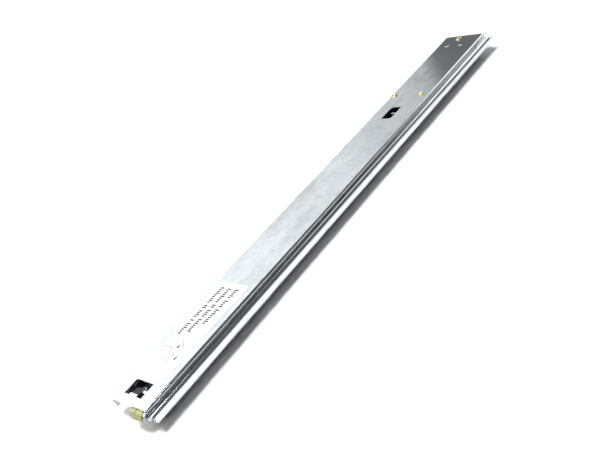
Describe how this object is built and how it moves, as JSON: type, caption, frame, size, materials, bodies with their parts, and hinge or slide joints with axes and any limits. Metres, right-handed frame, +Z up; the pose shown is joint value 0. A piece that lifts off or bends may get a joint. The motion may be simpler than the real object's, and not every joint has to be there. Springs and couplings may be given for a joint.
{
  "type": "drawer slide",
  "caption": "Right-hand roller drawer slide, closed: a wide zinc-plated plate with turned-down edges runs on rollers along a channel with a gutter-shaped side rail.",
  "frame": {"origin": "middle of the slide's underside, on the surface that it lies on", "axes": "+X across the slide towards the side rail, which goes against the cabinet's right wall; +Y along the slide, from the front of the cabinet to its back; +Z up. The slide is closed."},
  "size_m": [0.053, 0.5042, 0.0198],
  "materials": {
    "zinc_steel": "bright zinc-plated sheet, satin with faint rolling marks",
    "channel_steel": "zinc-plated sheet, slightly duller",
    "yellow_zinc": "yellow-chromated zinc plating on steel, iridescent",
    "axle_steel": "turned steel, bright",
    "roller_nylon": "olive-yellow moulded nylon, semi-matt",
    "black_nylon": "black moulded nylon",
    "black_rubber": "black rubber",
    "label_paper": "white satin paper label with plain grey bars and a plain sketch of a rail"
  },
  "bodies": {
    "cabinet": {"cabinet_rail": "channel_steel", "side_rail": "zinc_steel", "front_axle": "axle_steel", "front_washer": "axle_steel", "front_glide": "black_nylon", "open_stop": "black_rubber", "closed_stop": "black_rubber", "side_rivet_1": "axle_steel", "side_rivet_2": "axle_steel", "side_rivet_3": "axle_steel", "side_rivet_4": "axle_steel", "side_rivet_5": "axle_steel"},
    "drawer": {"drawer_rail": "zinc_steel", "roller_carrier": "yellow_zinc", "rear_locator": "yellow_zinc", "rear_axle": "axle_steel", "rear_washer": "axle_steel", "label": "label_paper", "carrier_rivet_left": "yellow_zinc", "carrier_rivet_right": "yellow_zinc", "locator_rivet": "yellow_zinc"},
    "front_roller": {"front_roller": "roller_nylon", "front_bush": "axle_steel"},
    "rear_roller": {"rear_roller": "roller_nylon", "rear_bush": "axle_steel"}
  },
  "joints": [
    {"name": "drawer_slide", "type": "slide", "parent": "cabinet", "child": "drawer", "axis": [0, -1, 0], "range_m": [0, 0.36]},
    {"name": "front_roller_spin", "type": "hinge", "parent": "cabinet", "child": "front_roller", "pos_m": [0.00735, -0.24695, 0.0116], "axis": [1, 0, 0], "continuous": true},
    {"name": "rear_roller_spin", "type": "hinge", "parent": "drawer", "child": "rear_roller", "pos_m": [0.00665, 0.13865, 0.007], "axis": [1, 0, 0], "continuous": true}
  ],
  "couplings": [
    {"joint": "front_roller_spin", "follows": "drawer_slide", "rad_per_m": 192.31},
    {"joint": "rear_roller_spin", "follows": "drawer_slide", "rad_per_m": 192.31}
  ]
}
